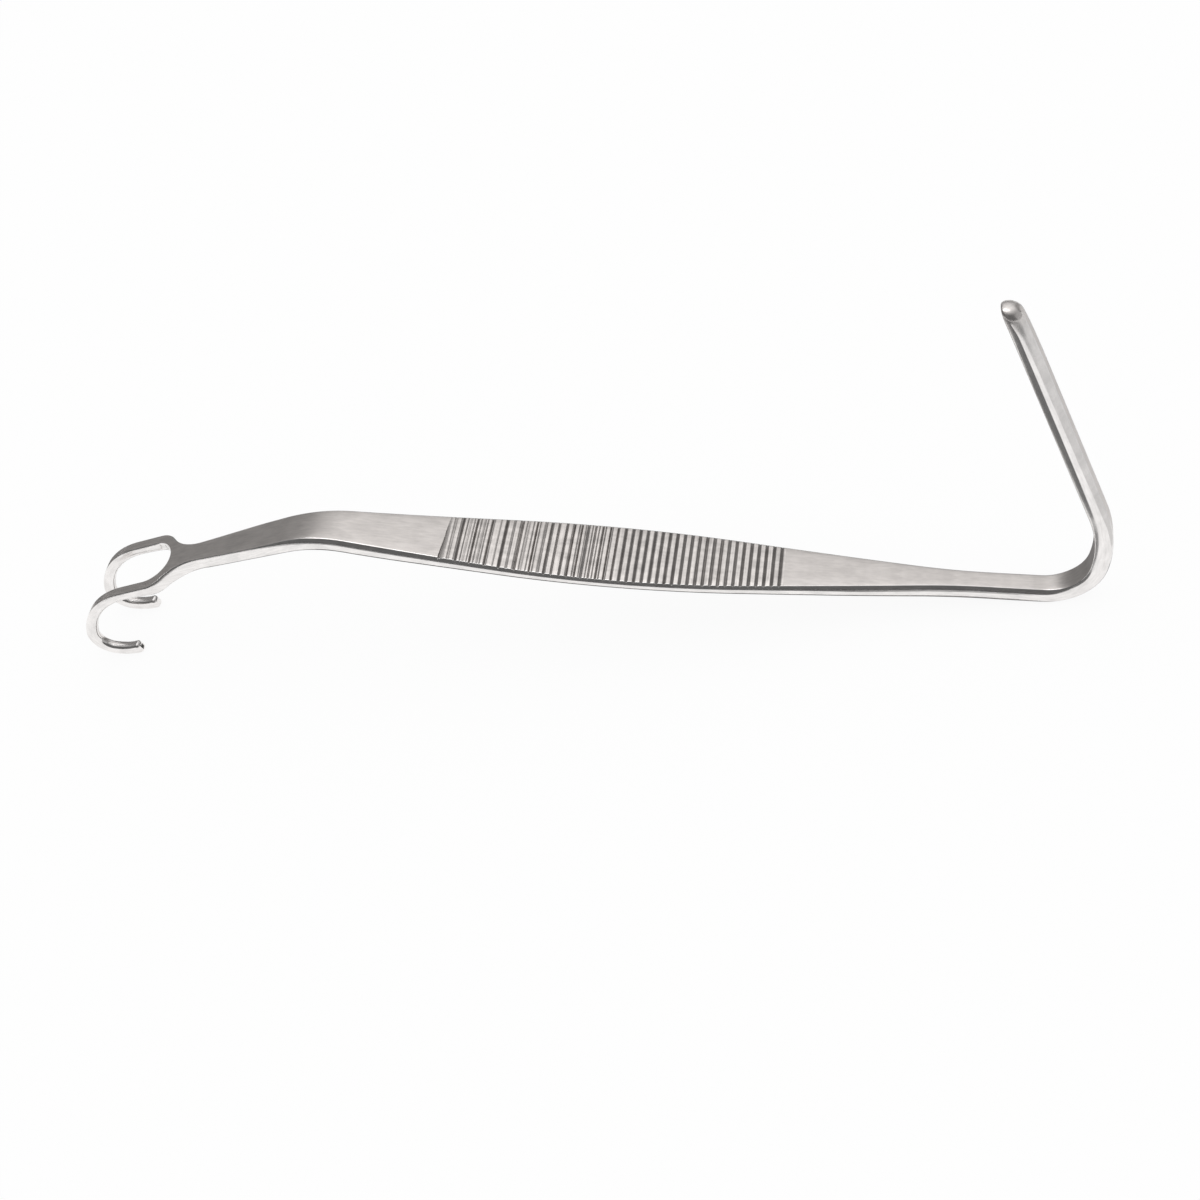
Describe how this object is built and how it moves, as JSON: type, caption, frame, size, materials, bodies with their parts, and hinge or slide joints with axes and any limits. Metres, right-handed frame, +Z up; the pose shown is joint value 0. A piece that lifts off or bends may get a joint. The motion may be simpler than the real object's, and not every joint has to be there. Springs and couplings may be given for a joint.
{
  "type": "handheld surgical retractor",
  "caption": "Hand-held surgical retractor: a serrated grip between a forked blunt hook, on a dropped neck, and a long narrow blade bent up from the bar.",
  "frame": {"origin": "centre of the footprint, on the floor that the two hooks and the heel of the blade stand on", "axes": "+X along the grip from the hooks towards the blade, +Y across, +Z up"},
  "size_m": [0.2052, 0.0144, 0.0718],
  "materials": {
    "steel": "satin top faces with polished sides and edges"
  },
  "bodies": {
    "root": {"retractor": "steel"}
  },
  "joints": []
}
